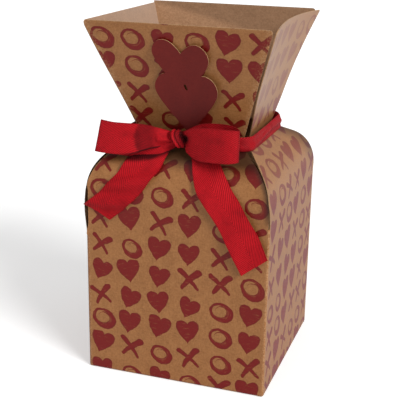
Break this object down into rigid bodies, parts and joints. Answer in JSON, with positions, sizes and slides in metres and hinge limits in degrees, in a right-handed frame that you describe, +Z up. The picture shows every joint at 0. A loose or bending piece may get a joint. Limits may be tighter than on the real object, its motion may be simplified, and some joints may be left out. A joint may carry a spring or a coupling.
{
  "type": "bouquet box",
  "caption": "Square folding card box with bent shoulders, a creased neck, four flared petals that fold outward, a tied ribbon bow and a heart tag that slides.",
  "frame": {"origin": "on the floor under the middle of the box's square base", "axes": "+Z up, -Y towards the front with the bow and the tag, +X to the right seen from the front"},
  "size_m": [0.1241, 0.1227, 0.2304],
  "materials": {
    "printed_kraft": "matte brown kraft card with a dark red brushed print",
    "plain_kraft": "matte brown kraft card, unprinted",
    "tag_card": "matte dark red card",
    "ribbon": "red herringbone twill with a soft sheen"
  },
  "bodies": {
    "root": {"front_panel": "printed_kraft", "right_panel": "printed_kraft", "back_panel": "printed_kraft", "left_panel": "printed_kraft", "glue_flap": "plain_kraft", "base_rear_flap": "plain_kraft", "base_right_flap": "plain_kraft", "base_left_flap": "plain_kraft", "base_front_flap": "plain_kraft", "ribbon_band": "ribbon", "bow_knot": "ribbon", "bow_loop_left": "ribbon", "bow_loop_right": "ribbon", "bow_tail_left": "ribbon", "bow_tail_right": "ribbon"},
    "front_petal": {"front_petal": "printed_kraft"},
    "right_petal": {"right_petal": "printed_kraft"},
    "back_petal": {"back_petal": "printed_kraft"},
    "left_petal": {"left_petal": "printed_kraft"},
    "heart_tag": {"heart_tag": "tag_card"}
  },
  "joints": [
    {"name": "front_petal_fold", "type": "hinge", "parent": "root", "child": "front_petal", "pos_m": [0, -0.03579, 0.1566], "axis": [1, 0, 0], "range_deg": [0, 10]},
    {"name": "right_petal_fold", "type": "hinge", "parent": "root", "child": "right_petal", "pos_m": [0.03579, 0, 0.1566], "axis": [0, 1, 0], "range_deg": [0, 15]},
    {"name": "back_petal_fold", "type": "hinge", "parent": "root", "child": "back_petal", "pos_m": [0, 0.03579, 0.1566], "axis": [-1, 0, 0], "range_deg": [0, 15]},
    {"name": "left_petal_fold", "type": "hinge", "parent": "root", "child": "left_petal", "pos_m": [-0.03579, 0, 0.1566], "axis": [0, -1, 0], "range_deg": [0, 15]},
    {"name": "tag_slide", "type": "slide", "parent": "front_petal", "child": "heart_tag", "axis": [0, -0.3074, 0.9516], "range_m": [0, 0.028]}
  ]
}
